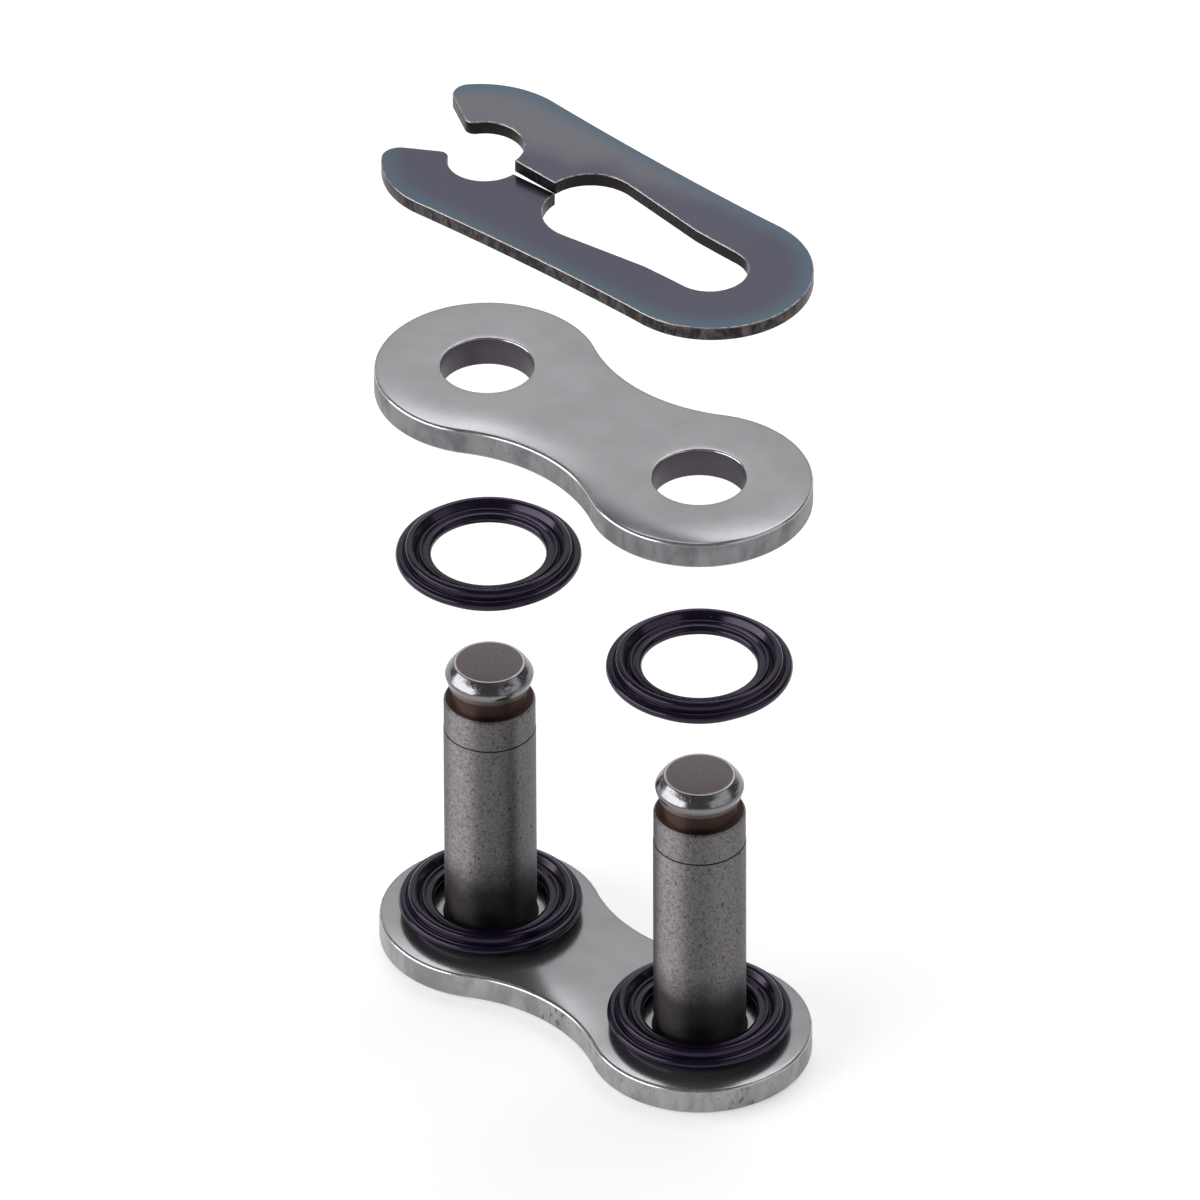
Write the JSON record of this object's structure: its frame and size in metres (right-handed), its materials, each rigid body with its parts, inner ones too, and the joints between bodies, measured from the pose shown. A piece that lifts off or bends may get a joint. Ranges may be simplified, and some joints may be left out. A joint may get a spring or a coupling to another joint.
{
  "type": "chain connecting link",
  "caption": "Clip-type connecting link for a sealed roller chain, drawn taken apart: plate with pins, ribbed seal rings, outer plate and spring clip.",
  "frame": {"origin": "middle of the base plate's underside, which rests on the ground", "axes": "+Z along the pins, away from the base plate; +X from the rear pin to the front pin, towards the clip's closed end"},
  "size_m": [0.0287, 0.0126, 0.0544],
  "materials": {
    "plate_steel": "satin, tumbled, with a light oil film",
    "pin_steel": "ground, with fine dark pits",
    "spring_steel": "blued and tempered, worn bright at the edges",
    "rubber": "moulded, satin"
  },
  "bodies": {
    "root": {"base_plate": "plate_steel", "outer_plate": "plate_steel", "rear_pin": "pin_steel", "front_pin": "pin_steel", "lower_seal_rear": "rubber", "lower_seal_front": "rubber", "upper_seal_rear": "rubber", "upper_seal_front": "rubber", "spring_clip": "spring_steel"}
  },
  "joints": []
}
